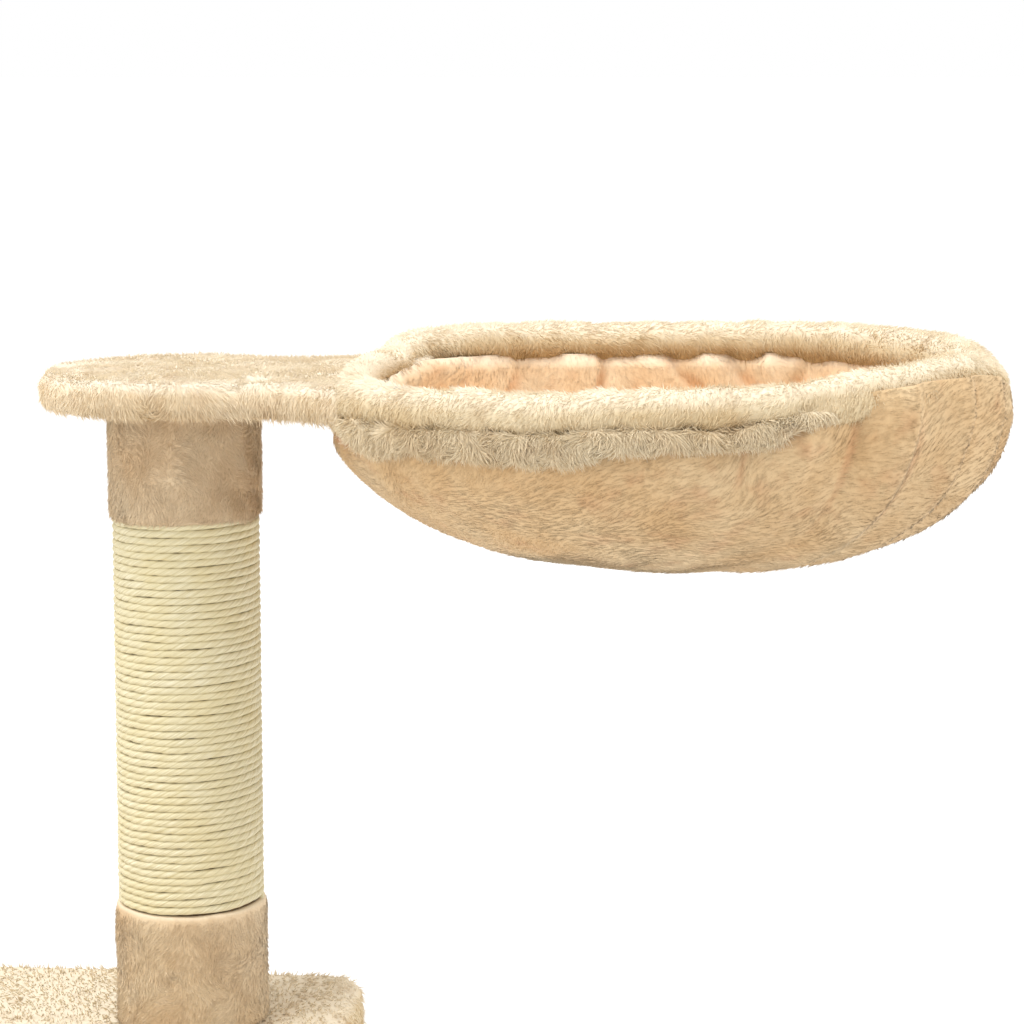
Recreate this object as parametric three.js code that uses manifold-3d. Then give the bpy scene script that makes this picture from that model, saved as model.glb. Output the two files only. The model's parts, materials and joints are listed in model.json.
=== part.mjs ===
// Cat tree: a sisal scratching post on a plush covered base plate. The post carries a
// plush covered platform, and the platform's wire ring holds a plush hammock bowl.
// Millimetres, +Z up. Pieces are drawn around the post's axis with z = 0 on the floor,
// and the whole tree is then moved so that the origin is under its middle.
import * as THREE from 'three';
import { mergeVertices } from 'three/addons/utils/BufferGeometryUtils.js';
import Module from 'manifold-3d';

const wasm = await Module();
wasm.setup();

// ---- driving dimensions ----

const GAP = 0.3; // between pieces that touch
const TURN = 2 * Math.PI;
const OVERSHOOT = 1; // how far a cutting tool runs past a face

// Base plate: a board in a plush cover that is turned under at the edge
const BASE_LENGTH = 500;
const BASE_WIDTH = 350;
const BASE_HEIGHT = 26;
const BASE_CORNER = 24;
const BASE_BOARD = 18;
const BASE_HEM = 2;
const BASE_SIDE = 5; // plush thickness on the sides
const BASE_TUCK = 28; // how far the cover runs in under the board
const POST_FROM_EDGE = 75; // post axis to the plate's right and back edges

// Scratching post, measured up from the top of the base plate
const POST_LENGTH = 300;
const TUBE_RADIUS = 31.2;
const TUBE_WALL = 3.5;
const ROPE_RADIUS = 35; // outside of the winding
const ROPE_DIAMETER = 3.55;
const ROPE_GROOVE = 0.3; // depth between turns, as a share of the rope's diameter
const COLLAR_RADIUS = 36.75;
const COLLAR_ROUNDING = 2.5;
const LOWER_COLLAR = 57;
const UPPER_COLLAR = 51.5;
const PLUG_THICKNESS = 25;
const BOLT_STOP = 1; // bolt's end below the bottom plug's inner face
const STUD_REACH = 2; // stud's end below the top plug
const STUD_HEADROOM = 2.5; // stud's end below the platform board's top

// M8 fasteners
const BOLT_RADIUS = 4;
const BOLT_HOLE = 4.5;
const BOLT_HEAD = 5.3;
const HEX_RADIUS = 7.2;
const WASHER_RADIUS = 10.5;
const WASHER_THICKNESS = 1.6;
const COUNTERBORE_RADIUS = 12.5;
const COUNTERBORE_DEPTH = 8;
const NUT_BORE = 4.3;
const NUT_BARREL = 5.6;
const NUT_FLANGE = 10;
const NUT_FLANGE_THICKNESS = 1.4;
const NUT_LENGTH = 9;

// Platform, level with the top of the post
const PLATFORM_HEIGHT = 17.1;
const PLATFORM_RADIUS = 68; // rounded end around the post
const WAIST_RADIUS = 62.6; // hollow curve from the rounded end to the ring
const PLATFORM_HEM = 1.5;
const PLATFORM_SIDE = 3.4;
const PLATFORM_WINDOW = 43; // round opening in the underside, where the post stands against the board
const PLATFORM_BOARD = 12;
const PLATFORM_EDGE = 4; // rounding of the plush edge

// Hammock, around an axis of its own
const RING_OFFSET = 226.5; // ring centre from the post axis
const RING_RADIUS = 150.3;
const RIM_RADIUS = 12; // padded roll around the wire
const RIM_WALL = 2.5;
const RIM_LEVEL = 316.2; // centre of the roll above the base plate
const LIP_RADIUS = 132; // platform's hollow edge, about the ring's centre
const RIM_GAP_ANGLE = THREE.MathUtils.degToRad(30); // half of the stretch at the platform
const RIM_END_GAP = 1; // between the roll's ends and the platform
const WIRE_RADIUS = 2.5;
const WIRE_LEVEL = 318.5; // in the roll
const WIRE_SEAT = 308.5; // in the board's groove
const WIRE_RISE_START = THREE.MathUtils.degToRad(27);
const WIRE_RISE_END = THREE.MathUtils.degToRad(40);
const WIRE_CLEARANCE = 0.4;
const WIRE_JOINT = 0.004; // half of the gap between the wire's ends, in radians
const GROOVE_JOINT = 0.001; // the same in the tool that cuts the groove
const GROOVE_BRIDGE = 0.9; // width of the cut that carries the groove past that gap
const BOWL_DEPTH = 88; // outside, below the centre of the roll
const BOWL_RADIUS = 158;
const BOWL_FULLNESS = 2.3; // 2 is an ellipse, more is fuller
const BOWL_CLOTH = 3;

// Straps that hold the wire down in the platform board
const STRAP_ANGLE = THREE.MathUtils.degToRad(15);
const STRAP_LENGTH = 26;
const STRAP_WIDTH = 12;
const STRAP_THICKNESS = 1.2;
const SCREW_SPACING = 18;
const SCREW_RADIUS = 1.75;
const SCREW_HEAD_RADIUS = 3.2;
const SCREW_HEAD = 0.9;
const SCREW_LENGTH = 8;
const SCREW_HOLE = 2.1;
const SCREW_POINT = 2;
const POCKET_DEPTH = 2.8;
const POCKET_ROOM = 2; // how much longer and wider a pocket is than what lies in it
const FERRULE_LENGTH = 16;
const FERRULE_RADIUS = 3.9;

// ---- heights that follow from them ----

const BASE_TOP = BASE_HEIGHT;
const POST_FOOT = BASE_TOP + GAP;
const PLATFORM_UNDER = BASE_TOP + POST_LENGTH;
const PLATFORM_TOP = PLATFORM_UNDER + PLATFORM_HEIGHT;
const BOARD_UNDER = PLATFORM_UNDER + PLATFORM_HEM + GAP;
const BOARD_TOP = BOARD_UNDER + PLATFORM_BOARD;
const POST_HEAD = BOARD_UNDER - GAP;
const ROPE_FOOT = BASE_TOP + LOWER_COLLAR + GAP;
const ROPE_HEAD = PLATFORM_UNDER - UPPER_COLLAR - GAP;
const RIM_Z = BASE_TOP + RIM_LEVEL;
const BASE_BOARD_UNDER = BASE_HEM + GAP;

// ---- shapes and solids ----

const SIDES = 24;
const SMALL_SIDES = 12; // screws and their holes
const WINDING_SIDES = 16;
const ARC_STEPS = 8; // in each arc of an outline
const EDGE_STEPS = 2; // in a rounded edge
const WIRE_STEPS = 72;
const WIRE_HALF_SIDES = 4;
const RIM_STEPS = 40;
const RIM_HALF_SIDES = 6;
const BOWL_SIDES = 36;
const BOWL_STEPS = 9; // from the brim to the bottom

/** A closed geometry as a solid that can be cut. */
function solid(geometry) {
  const bare = geometry.clone();
  bare.deleteAttribute('normal');
  bare.deleteAttribute('uv');
  const merged = mergeVertices(bare, 1e-4);
  return new wasm.Manifold(new wasm.Mesh({
    numProp: 3,
    vertProperties: merged.attributes.position.array,
    triVerts: new Uint32Array(merged.index.array),
  }));
}

/** The geometry that is left when tools are cut from it. */
function cut(geometry, ...tools) {
  const left = tools.reduce((rest, tool) => rest.subtract(solid(tool)), solid(geometry));
  return fromSolid(left);
}

function join(...geometries) {
  return fromSolid(geometries.map(solid).reduce((all, next) => all.add(next)));
}

function fromSolid(manifold) {
  const mesh = manifold.getMesh();
  const geometry = new THREE.BufferGeometry();
  geometry.setAttribute('position', new THREE.BufferAttribute(mesh.vertProperties, 3));
  geometry.setIndex(new THREE.BufferAttribute(mesh.triVerts, 1));
  geometry.computeVertexNormals();
  return geometry;
}

/** A shape pulled up from one height to another, with an optional rounded edge. */
function prism(shape, bottom, top, edge = 0) {
  const geometry = new THREE.ExtrudeGeometry(shape, {
    depth: top - bottom - 2 * edge,
    bevelEnabled: edge > 0,
    bevelThickness: edge,
    bevelSize: edge,
    bevelSegments: EDGE_STEPS,
    curveSegments: ARC_STEPS,
  });
  return geometry.translate(0, 0, bottom + edge);
}

/** A profile of [radius, height] pairs turned about the z axis. */
function turned(profile, sides = SIDES) {
  const points = profile.map(([radius, height]) => new THREE.Vector2(radius, height));
  return new THREE.LatheGeometry(points, sides).rotateX(Math.PI / 2);
}

/** A ring of rectangular section. */
function sleeve(inner, outer, bottom, top) {
  return turned([[inner, bottom], [outer, bottom], [outer, top], [inner, top], [inner, bottom]]);
}

function rod(radius, bottom, top, sides = SIDES) {
  return turned([[0, bottom], [radius, bottom], [radius, top], [0, top]], sides);
}

function at(geometry, x, y, z = 0) {
  return geometry.translate(x, y, z);
}

function roundedRectangle(left, front, right, back, corner) {
  const shape = new THREE.Shape();
  shape.absarc(right - corner, back - corner, corner, 0, TURN / 4);
  shape.absarc(left + corner, back - corner, corner, TURN / 4, TURN / 2);
  shape.absarc(left + corner, front + corner, corner, TURN / 2, 0.75 * TURN);
  shape.absarc(right - corner, front + corner, corner, 0.75 * TURN, TURN);
  shape.closePath();
  return shape;
}

/** The base plate's outline, moved in by inset. */
function plateOutline(inset) {
  return roundedRectangle(
    POST_FROM_EDGE - BASE_LENGTH + inset,
    POST_FROM_EDGE - BASE_WIDTH + inset,
    POST_FROM_EDGE - inset,
    POST_FROM_EDGE - inset,
    BASE_CORNER - Math.min(inset, BASE_CORNER / 2),
  );
}

/**
 * The platform's outline, moved in by inset: a round end about the post, a hollow waist on
 * each side, and a hollow edge that follows the hammock's ring between its two ends.
 */
function platformOutline(inset) {
  const end = PLATFORM_RADIUS - inset;
  const waist = WAIST_RADIUS + inset;
  const ring = RING_RADIUS + RIM_RADIUS - inset;
  const hollow = LIP_RADIUS + inset;
  const waistX = ((end + waist) ** 2 - (ring + waist) ** 2 + RING_OFFSET ** 2) / (2 * RING_OFFSET);
  const waistY = Math.sqrt((end + waist) ** 2 - waistX ** 2);
  const leave = Math.atan2(waistY, waistX);
  const edge = RIM_GAP_ANGLE - (RIM_END_GAP + inset) / RING_RADIUS;
  // where the waist's circle meets the line from the ring's centre at that angle
  const along = new THREE.Vector2(-Math.cos(edge), Math.sin(edge));
  const fromRing = new THREE.Vector2(waistX - RING_OFFSET, waistY);
  const near = fromRing.dot(along);
  const reach = near - Math.sqrt(waist ** 2 - (fromRing.lengthSq() - near ** 2));
  const corner = along.clone().multiplyScalar(reach).add(new THREE.Vector2(RING_OFFSET, 0));
  const meet = Math.atan2(corner.y - waistY, corner.x - waistX);
  const shape = new THREE.Shape();
  shape.absarc(0, 0, end, leave, TURN - leave, false);
  shape.absarc(waistX, -waistY, waist, Math.PI - leave, -meet, true);
  shape.absarc(RING_OFFSET, 0, hollow, Math.PI + edge, Math.PI - edge, true);
  shape.absarc(waistX, waistY, waist, meet, leave - Math.PI, true);
  shape.closePath();
  return shape;
}

/** The ring's centreline from one end at the platform round to the other. */
class RingLine extends THREE.Curve {
  constructor(openAngle, height) {
    super();
    this.openAngle = openAngle;
    this.height = height;
  }

  getPoint(t, target = new THREE.Vector3()) {
    const angle = this.openAngle + t * (TURN - 2 * this.openAngle);
    const x = RING_OFFSET - RING_RADIUS * Math.cos(angle);
    const y = RING_RADIUS * Math.sin(angle);
    return target.set(x, y, this.height(Math.min(angle, TURN - angle)));
  }
}

/** A round bar along a line, hollow if it has a bore. */
function swept(radius, line, steps, halfSides, bore = 0) {
  const section = new THREE.Shape();
  section.absarc(0, 0, radius, 0, TURN);
  if (bore > 0) {
    section.holes.push(new THREE.Path().absarc(0, 0, bore, 0, TURN, true));
  }
  return new THREE.ExtrudeGeometry(section, {
    steps,
    curveSegments: halfSides,
    extrudePath: line,
    bevelEnabled: false,
  });
}

// ---- the tree, its materials and how a piece joins it ----

const tree = new THREE.Group();

const finish = (color, roughness, metalness = 0) => ({ color, roughness, metalness });
const PLUSH = finish(0xe9d9bd, 0.95);
const PLUSH_COLLAR = finish(0xcfae86, 0.95);
const PLUSH_PLATFORM = finish(0xf1e4cd, 0.95);
const PLUSH_LINING = finish(0xf0c99c, 0.95);
const SISAL = finish(0xe6dab3, 0.9);
const PARTICLE_BOARD = finish(0xb98f60, 0.85);
const PLYWOOD = finish(0xd2ab77, 0.8);
const CARDBOARD = finish(0xa98358, 0.9);
const ZINC = finish(0xb9bcc0, 0.35, 0.9);
const STEEL_WIRE = finish(0x8f9296, 0.4, 0.9);

function add(name, geometry, look) {
  const mesh = new THREE.Mesh(geometry, new THREE.MeshStandardMaterial(look));
  mesh.name = name;
  tree.add(mesh);
}

// ---- base plate ----

function addBasePlate() {
  const boardTop = BASE_BOARD_UNDER + BASE_BOARD;
  const inset = BASE_SIDE + GAP;
  add('base_board', cut(
    prism(plateOutline(inset), BASE_BOARD_UNDER, boardTop),
    rod(BOLT_HOLE, 0, BASE_HEIGHT),
    rod(COUNTERBORE_RADIUS, 0, BASE_BOARD_UNDER + COUNTERBORE_DEPTH),
  ), PARTICLE_BOARD);

  add('base_plush_cover', cut(
    prism(plateOutline(BASE_SIDE), 0, BASE_HEIGHT, BASE_SIDE),
    prism(plateOutline(BASE_SIDE), BASE_HEM, boardTop + GAP),
    prism(plateOutline(BASE_TUCK), -OVERSHOOT, BASE_HEM + OVERSHOOT),
    rod(BOLT_HOLE + GAP, BASE_HEM, BASE_HEIGHT + OVERSHOOT),
  ), PLUSH);
}

function addBaseBolt() {
  const roof = BASE_BOARD_UNDER + COUNTERBORE_DEPTH;
  const washerTop = roof - GAP;
  const headTop = washerTop - WASHER_THICKNESS - GAP;
  add('base_bolt_washer', sleeve(BOLT_HOLE, WASHER_RADIUS, washerTop - WASHER_THICKNESS, washerTop), ZINC);
  const head = new THREE.CylinderGeometry(HEX_RADIUS, HEX_RADIUS, BOLT_HEAD, 6).rotateX(Math.PI / 2);
  const tip = POST_FOOT + PLUG_THICKNESS - BOLT_STOP;
  add('base_bolt', join(
    at(head, 0, 0, headTop - BOLT_HEAD / 2),
    rod(BOLT_RADIUS, headTop - OVERSHOOT, tip),
  ), ZINC);
}

// ---- scratching post ----

/** A tee nut with its flange at flangeZ and its barrel running up or down from it. */
function teeNut(flangeZ, direction) {
  const flangeEnd = flangeZ + direction * NUT_FLANGE_THICKNESS;
  const barrelEnd = flangeZ + direction * NUT_LENGTH;
  const profile = [
    [NUT_BORE, flangeZ], [NUT_FLANGE, flangeZ], [NUT_FLANGE, flangeEnd],
    [NUT_BARREL, flangeEnd], [NUT_BARREL, barrelEnd], [NUT_BORE, barrelEnd], [NUT_BORE, flangeZ],
  ];
  return turned(direction > 0 ? profile : profile.reverse());
}

/** An end plug with a nut at its inner face. */
function addPlug(name, nutName, bottom, innerIsTop) {
  const top = bottom + PLUG_THICKNESS;
  const inner = innerIsTop ? top : bottom;
  const direction = innerIsTop ? -1 : 1;
  const seat = inner + direction * (NUT_FLANGE_THICKNESS + 2 * GAP);
  const mouth = inner - direction * OVERSHOOT;
  add(name, cut(
    rod(TUBE_RADIUS - TUBE_WALL - GAP, bottom, top),
    rod(NUT_BARREL + GAP, bottom - OVERSHOOT, top + OVERSHOOT),
    rod(NUT_FLANGE + GAP, Math.min(mouth, seat), Math.max(mouth, seat)),
  ), PARTICLE_BOARD);
  add(nutName, teeNut(inner + direction * GAP, direction), ZINC);
}

/** The winding as ribs, one for each turn of the rope. */
function ropeWinding() {
  const height = ROPE_HEAD - ROPE_FOOT;
  const turns = Math.round(height / ROPE_DIAMETER);
  const pitch = height / turns;
  const inner = (TUBE_RADIUS + GAP) / Math.cos(Math.PI / WINDING_SIDES);
  const groove = ROPE_RADIUS - ROPE_GROOVE * ROPE_DIAMETER;
  const profile = [[inner, ROPE_FOOT], [groove, ROPE_FOOT]];
  for (let turn = 0; turn < turns; turn += 1) {
    profile.push([ROPE_RADIUS, ROPE_FOOT + (turn + 0.5) * pitch]);
    profile.push([groove, ROPE_FOOT + (turn + 1) * pitch]);
  }
  profile.push([inner, ROPE_HEAD], [inner, ROPE_FOOT]);
  return turned(profile, WINDING_SIDES);
}

/** A plush sleeve with soft, rounded ends. */
function collar(bottom, top) {
  const inner = TUBE_RADIUS + GAP;
  const round = COLLAR_ROUNDING;
  return turned([
    [inner, bottom], [COLLAR_RADIUS - round, bottom], [COLLAR_RADIUS, bottom + round],
    [COLLAR_RADIUS, top - round], [COLLAR_RADIUS - round, top], [inner, top], [inner, bottom],
  ]);
}

function addPost() {
  add('post_tube', sleeve(TUBE_RADIUS - TUBE_WALL, TUBE_RADIUS, POST_FOOT, POST_HEAD), CARDBOARD);
  addPlug('bottom_end_plug', 'bottom_tee_nut', POST_FOOT, true);
  addPlug('top_end_plug', 'top_tee_nut', POST_HEAD - PLUG_THICKNESS, false);
  add('sisal_rope_winding', ropeWinding(), SISAL);
  add('lower_plush_collar', collar(POST_FOOT, ROPE_FOOT - GAP), PLUSH_COLLAR);
  add('upper_plush_collar', collar(ROPE_HEAD + GAP, PLATFORM_UNDER - GAP), PLUSH_COLLAR);
  const studFoot = POST_HEAD - PLUG_THICKNESS - STUD_REACH;
  add('top_stud', rod(BOLT_RADIUS, studFoot, BOARD_TOP - STUD_HEADROOM), ZINC);
}

// ---- platform and hammock ----

/** The wire's height: down in the board at the platform, up in the roll elsewhere. */
function wireHeight(angle) {
  const rise = THREE.MathUtils.smoothstep(angle, WIRE_RISE_START, WIRE_RISE_END);
  return BASE_TOP + THREE.MathUtils.lerp(WIRE_SEAT, WIRE_LEVEL, rise);
}

function ringWire(radius, openAngle) {
  return swept(radius, new RingLine(openAngle, wireHeight), WIRE_STEPS, WIRE_HALF_SIDES);
}

/** A place on the ring's circle, swung from the platform's side by angle. */
function onRing(geometry, angle, radius = RING_RADIUS) {
  return geometry.translate(-radius, 0, 0).rotateZ(-angle).translate(RING_OFFSET, 0, 0);
}

function box(length, width, bottom, top) {
  return new THREE.BoxGeometry(length, width, top - bottom).translate(0, 0, (top + bottom) / 2);
}

const SCREW_RADII = [RING_RADIUS - SCREW_SPACING / 2, RING_RADIUS + SCREW_SPACING / 2];
const STRAP_TOP = BOARD_TOP - POCKET_DEPTH + GAP + STRAP_THICKNESS;
const SCREW_TIP = STRAP_TOP + GAP - SCREW_LENGTH;

function addPlatformBoard() {
  const inset = PLATFORM_SIDE + GAP;
  const nutSeat = BOARD_TOP - NUT_FLANGE_THICKNESS - 2 * GAP;
  const tops = BOARD_TOP + OVERSHOOT;
  const strapPocket = () => box(
    STRAP_LENGTH + POCKET_ROOM, STRAP_WIDTH + POCKET_ROOM, BOARD_TOP - POCKET_DEPTH, tops);
  const screwHole = () => rod(SCREW_HOLE, SCREW_TIP - OVERSHOOT, BOARD_TOP, SMALL_SIDES);
  const pockets = [STRAP_ANGLE, -STRAP_ANGLE].flatMap((angle) => [
    onRing(strapPocket(), angle),
    ...SCREW_RADII.map((radius) => onRing(screwHole(), angle, radius)),
  ]);
  const ferrulePocket = box(
    2 * FERRULE_RADIUS + POCKET_ROOM,
    FERRULE_LENGTH + POCKET_ROOM,
    BASE_TOP + WIRE_SEAT - FERRULE_RADIUS - GAP,
    tops,
  );
  const slotWidth = 2 * (WIRE_RADIUS + WIRE_CLEARANCE);
  const wireSlot = box(slotWidth, GROOVE_BRIDGE, BASE_TOP + WIRE_SEAT, tops);
  add('platform_board', cut(
    prism(platformOutline(inset), BOARD_UNDER, BOARD_TOP),
    rod(NUT_BARREL + GAP, BOARD_UNDER - OVERSHOOT, tops),
    rod(NUT_FLANGE + GAP, nutSeat, tops),
    wireGroove(),
    onRing(ferrulePocket, 0),
    onRing(wireSlot, 0),
    ...pockets,
  ), PLYWOOD);
  add('platform_tee_nut', teeNut(BOARD_TOP - GAP, -1), ZINC);
}

/** The groove: the wire's own path, open upwards to above the board. */
function wireGroove() {
  const width = WIRE_RADIUS + WIRE_CLEARANCE;
  const wire = solid(ringWire(width, GROOVE_JOINT));
  const slot = solid(turned([
    [RING_RADIUS - width, BASE_TOP + WIRE_SEAT], [RING_RADIUS + width, BASE_TOP + WIRE_SEAT],
    [RING_RADIUS + width, BOARD_TOP + OVERSHOOT], [RING_RADIUS - width, BOARD_TOP + OVERSHOOT],
    [RING_RADIUS - width, BASE_TOP + WIRE_SEAT],
  ], WIRE_STEPS).translate(RING_OFFSET, 0, 0));
  return fromSolid(wire.add(slot));
}

function addPlatformCover() {
  const hemTop = PLATFORM_UNDER + PLATFORM_HEM;
  add('platform_plush_cover', cut(
    prism(platformOutline(PLATFORM_EDGE), PLATFORM_UNDER, PLATFORM_TOP, PLATFORM_EDGE),
    prism(platformOutline(PLATFORM_SIDE), hemTop, BOARD_TOP + GAP),
    rod(PLATFORM_WINDOW, PLATFORM_UNDER - OVERSHOOT, hemTop + OVERSHOOT),
    ringWire(WIRE_RADIUS + WIRE_CLEARANCE, GROOVE_JOINT),
  ), PLUSH_PLATFORM);
}

function addStraps() {
  const sides = { front: STRAP_ANGLE, back: -STRAP_ANGLE };
  for (const [side, angle] of Object.entries(sides)) {
    const strapFoot = STRAP_TOP - STRAP_THICKNESS;
    const plate = box(STRAP_LENGTH, STRAP_WIDTH, strapFoot, STRAP_TOP);
    const holes = [-1, 1].map((way) => at(
      rod(SCREW_HOLE, strapFoot - OVERSHOOT, STRAP_TOP + OVERSHOOT, SMALL_SIDES),
      (way * SCREW_SPACING) / 2,
      0,
    ));
    add(`${side}_ring_strap`, onRing(cut(plate, ...holes), angle), ZINC);
    SCREW_RADII.forEach((radius, index) => {
      const headFoot = STRAP_TOP + GAP;
      const screw = turned([
        [0, SCREW_TIP], [SCREW_RADIUS, SCREW_TIP + SCREW_POINT], [SCREW_RADIUS, headFoot],
        [SCREW_HEAD_RADIUS, headFoot], [SCREW_HEAD_RADIUS, headFoot + SCREW_HEAD],
        [0, headFoot + SCREW_HEAD],
      ], SMALL_SIDES);
      add(`${side}_strap_screw_${['inner', 'outer'][index]}`, onRing(screw, angle, radius), ZINC);
    });
  }
}

function addRing() {
  add('hammock_ring_wire', ringWire(WIRE_RADIUS, WIRE_JOINT), STEEL_WIRE);
  const ferrule = sleeve(WIRE_RADIUS + GAP, FERRULE_RADIUS, -FERRULE_LENGTH / 2, FERRULE_LENGTH / 2)
    .rotateX(Math.PI / 2)
    .translate(0, 0, BASE_TOP + WIRE_SEAT);
  add('ring_ferrule', onRing(ferrule, 0), ZINC);
  const line = new RingLine(RIM_GAP_ANGLE, () => RIM_Z);
  const casing = swept(RIM_RADIUS, line, RIM_STEPS, RIM_HALF_SIDES, RIM_RADIUS - RIM_WALL);
  add('rim_casing', casing, PLUSH);
}

/** One layer of the bowl: depth is how far its outer face lies inside the outermost one. */
function bowlLayer(depth, thickness) {
  const brim = RIM_Z - RIM_RADIUS - GAP;
  const face = (inward) => {
    const radius = BOWL_RADIUS - inward;
    const drop = BOWL_DEPTH - inward;
    const start = Math.asin(((RIM_Z - brim) / drop) ** (BOWL_FULLNESS / 2));
    const points = [];
    for (let step = 0; step <= BOWL_STEPS; step += 1) {
      const angle = start + ((Math.PI / 2 - start) * step) / BOWL_STEPS;
      points.push([
        step === BOWL_STEPS ? 0 : radius * Math.cos(angle) ** (2 / BOWL_FULLNESS),
        RIM_Z - drop * Math.sin(angle) ** (2 / BOWL_FULLNESS),
      ]);
    }
    return points;
  };
  const shell = turned([...face(depth).reverse(), ...face(depth + thickness)], BOWL_SIDES);
  const platform = prism(platformOutline(-GAP), PLATFORM_UNDER - GAP, PLATFORM_TOP);
  return cut(shell.translate(RING_OFFSET, 0, 0), platform);
}

function addBowl() {
  add('hammock_outer_bowl', bowlLayer(0, BOWL_CLOTH), PLUSH);
  add('hammock_lining', bowlLayer(BOWL_CLOTH + GAP, BOWL_CLOTH), PLUSH_LINING);
}

addBasePlate();
addBaseBolt();
addPost();
addPlatformBoard();
addPlatformCover();
addStraps();
addRing();
addBowl();

const left = POST_FROM_EDGE - BASE_LENGTH;
const right = RING_OFFSET + RING_RADIUS + RIM_RADIUS;
const front = POST_FROM_EDGE - BASE_WIDTH;
const back = RING_RADIUS + RIM_RADIUS;
tree.position.set(-(left + right) / 2, -(front + back) / 2, 0);

export default tree;
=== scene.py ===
"""The cat tree's looks: plush covers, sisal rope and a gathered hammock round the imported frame."""
import json
import math
import random

import bmesh
import bpy
from mathutils import Matrix, Vector, noise


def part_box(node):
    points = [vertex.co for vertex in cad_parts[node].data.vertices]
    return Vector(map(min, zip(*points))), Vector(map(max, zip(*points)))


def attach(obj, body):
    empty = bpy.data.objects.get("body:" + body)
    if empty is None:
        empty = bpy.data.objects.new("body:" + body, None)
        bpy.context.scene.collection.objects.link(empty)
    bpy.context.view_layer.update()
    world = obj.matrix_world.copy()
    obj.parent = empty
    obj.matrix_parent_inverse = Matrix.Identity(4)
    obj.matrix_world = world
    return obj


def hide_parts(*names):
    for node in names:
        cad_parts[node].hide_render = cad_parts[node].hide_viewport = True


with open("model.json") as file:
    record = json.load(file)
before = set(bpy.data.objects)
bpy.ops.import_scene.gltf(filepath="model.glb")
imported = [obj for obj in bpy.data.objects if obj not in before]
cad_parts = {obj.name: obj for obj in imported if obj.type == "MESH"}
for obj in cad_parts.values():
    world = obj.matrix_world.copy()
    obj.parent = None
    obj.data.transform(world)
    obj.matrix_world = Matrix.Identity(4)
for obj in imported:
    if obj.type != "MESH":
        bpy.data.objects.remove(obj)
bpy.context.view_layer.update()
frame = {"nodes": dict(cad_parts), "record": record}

MM = 0.001
TURN = 2 * math.pi
UP = Vector((0, 0, 1))
POST_BODY = "base_and_post"
HAMMOCK_BODY = "hammock_platform"


# ---- places, all worked out from the frame ----

def centre_of(node):
    low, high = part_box(node)
    return (low + high) / 2


def size_of(node):
    low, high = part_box(node)
    return high - low


POST = centre_of("post_tube")
RING = centre_of("hammock_ring_wire")
WIRE_THICKNESS = 5 * MM
RING_RADIUS = (size_of("hammock_ring_wire").y - WIRE_THICKNESS) / 2
RIM_Z = centre_of("rim_casing").z
ROLL_RADIUS = size_of("rim_casing").z / 2
BOWL_RADIUS = size_of("hammock_outer_bowl").y / 2
BOWL_DEPTH = RIM_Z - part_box("hammock_outer_bowl")[0].z
BASE_LOW, BASE_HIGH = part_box("base_plush_cover")
PLATFORM_LOW, PLATFORM_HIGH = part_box("platform_plush_cover")

PILE_STAND = 1.0 * MM  # how far a brushed pile stands off the cloth that it grows from


# ---- small helpers ----

def colour(code):
    """A colour written as six hex digits, as the linear values that a shader takes."""
    parts = [int(code[i:i + 2], 16) / 255 for i in (0, 2, 4)]
    return [p / 12.92 if p <= 0.04045 else ((p + 0.055) / 1.055) ** 2.4 for p in parts] + [1]


def ease(share):
    share = min(1, max(0, share))
    return share * share * (3 - 2 * share)


def round_ring(angle, stops):
    """A value at an angle in degrees, eased between the (angle, value) stops that go once round."""
    angle = (angle - stops[0][0]) % 360 + stops[0][0]
    for (start, low), (end, high) in zip(stops, stops[1:] + [(stops[0][0] + 360, stops[0][1])]):
        if angle <= end:
            return low + (high - low) * ease((angle - start) / (end - start))
    return stops[0][1]


def ring_angle(point):
    """Degrees round the ring's centre, from +X towards +Y."""
    return math.degrees(math.atan2(point.y - RING.y, point.x - RING.x)) % 360


def uneven(point, size, seed=0):
    """Smooth noise from about -1 to 1 that changes over the given size."""
    return noise.noise(point / size + Vector((seed * 7.3, seed * 3.1, seed * 5.7)))


def piece(name, bm):
    """A finished bmesh as an object with smooth faces."""
    mesh = bpy.data.meshes.new(name)
    bm.to_mesh(mesh)
    bm.free()
    mesh.polygons.foreach_set("use_smooth", [True] * len(mesh.polygons))
    obj = bpy.data.objects.new(name, mesh)
    bpy.context.scene.collection.objects.link(obj)
    return obj


def point_outwards(bm):
    bmesh.ops.remove_doubles(bm, verts=bm.verts, dist=1e-6)
    bmesh.ops.recalc_face_normals(bm, faces=bm.faces)


def thicken(obj, thickness):
    """Gives a cloth its thickness, inwards."""
    wall = obj.modifiers.new("thickness", "SOLIDIFY")
    wall.thickness = thickness
    wall.offset = -1


def settle(obj, body, slot, material, *nodes):
    """Gives a piece its material and its body, and hides the nodes that it stands for; the slot is not
    used.
    """
    obj.data.materials.clear()
    obj.data.materials.append(material)
    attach(obj, body)
    if nodes:
        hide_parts(*nodes)
    return obj


# ---- material kit ----

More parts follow.
